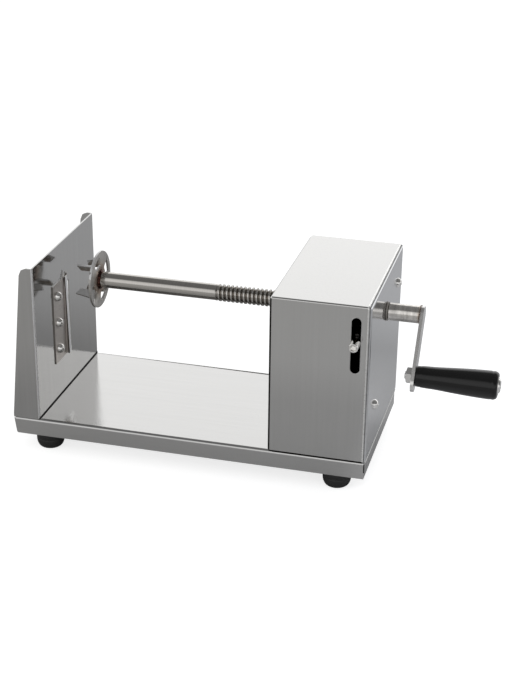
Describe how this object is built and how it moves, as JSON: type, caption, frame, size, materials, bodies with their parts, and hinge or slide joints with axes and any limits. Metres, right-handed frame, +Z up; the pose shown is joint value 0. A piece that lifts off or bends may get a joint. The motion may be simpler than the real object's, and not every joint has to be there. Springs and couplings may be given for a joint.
{
  "type": "tornado potato cutter",
  "caption": "Hand-cranked spiral potato cutter: a lead screw in a sheet-steel housing pushes the potato onto an upright blade plate; tray on rubber feet.",
  "frame": {"origin": "on the table, under the middle of the whole machine with its crank and lever pin at rest", "axes": "+X along the spindle towards the crank, +Y towards the back, +Z up"},
  "size_m": [0.442, 0.1704, 0.1825],
  "materials": {
    "sheet_steel": "stainless sheet, bright, faint grain",
    "cover_steel": "stainless sheet, bright, faint vertical grain",
    "blade_steel": "ground blade strip",
    "spindle_steel": "turned and polished bar with a rolled thread",
    "disc_steel": "laser-cut sheet, dull, heat tinted near the weld",
    "weld": "brown heat-tinted weld bead",
    "hub_steel": "worn, fingerprinted sleeve",
    "arm_steel": "flat bar, polished",
    "fastener_steel": "bright stainless fastener",
    "lever_steel": "flat bar, satin",
    "spring_steel": "drawn spring wire",
    "nut_brass": "machined brass half nut",
    "bush_bronze": "sintered bronze bush",
    "washer_nylon": "dark nylon washer",
    "grip_plastic": "glossy black handle",
    "foot_rubber": "black rubber"
  },
  "bodies": {
    "base": {"base_tray": "sheet_steel", "blade": "blade_steel", "blade_nuts": "fastener_steel", "blade_plate": "sheet_steel", "blade_plate_nuts": "fastener_steel", "blade_plate_screws": "fastener_steel", "blade_screws": "fastener_steel", "end_plate": "sheet_steel", "end_plate_screws": "fastener_steel", "foot_back_left": "foot_rubber", "foot_back_right": "foot_rubber", "foot_front_left": "foot_rubber", "foot_front_right": "foot_rubber", "foot_nuts": "fastener_steel", "foot_screws": "fastener_steel", "housing_cover": "cover_steel", "inner_bush": "bush_bronze", "inner_wall": "sheet_steel", "inner_wall_nuts": "fastener_steel", "inner_wall_screws": "fastener_steel", "lever_pivot_post": "lever_steel", "lever_spring": "spring_steel", "outer_bush": "bush_bronze", "pivot_clip": "lever_steel", "skewer_guide": "spindle_steel", "spring_post": "lever_steel"},
    "feed": {"thrust_washer": "washer_nylon"},
    "spindle": {"lead_screw": "spindle_steel", "disc_weld": "weld", "pusher_disc": "disc_steel", "crank_hub": "hub_steel", "hub_set_screw": "fastener_steel", "crank_arm": "arm_steel", "grip_bolt": "fastener_steel", "grip_nut": "fastener_steel", "grip_end_washer": "fastener_steel"},
    "grip": {"grip": "grip_plastic"},
    "lever": {"lever_arm": "lever_steel", "half_nut": "nut_brass", "half_nut_screws": "fastener_steel", "lever_pin": "lever_steel"}
  },
  "joints": [
    {"name": "spindle_feed", "type": "slide", "parent": "base", "child": "feed", "axis": [1, 0, 0], "range_m": [0, 0.1362]},
    {"name": "crank_turn", "type": "hinge", "parent": "feed", "child": "spindle", "pos_m": [0.112, 0.006, 0.147], "axis": [1, 0, 0], "range_deg": [0, 12240]},
    {"name": "grip_spin", "type": "hinge", "parent": "spindle", "child": "grip", "pos_m": [0.1455, -0.02848, 0.10287], "axis": [1, 0, 0], "continuous": true},
    {"name": "lever_swing", "type": "hinge", "parent": "base", "child": "lever", "pos_m": [0.0994, 0.062, 0.1524], "axis": [-1, 0, 0], "range_deg": [0, 7.8], "stiffness_Nm_per_rad": 4.9, "springref_deg": -5.73, "deforming": ["lever_spring"]}
  ],
  "couplings": [
    {"joint": "spindle_feed", "follows": "crank_turn", "m_per_rad": 0.00063662}
  ]
}
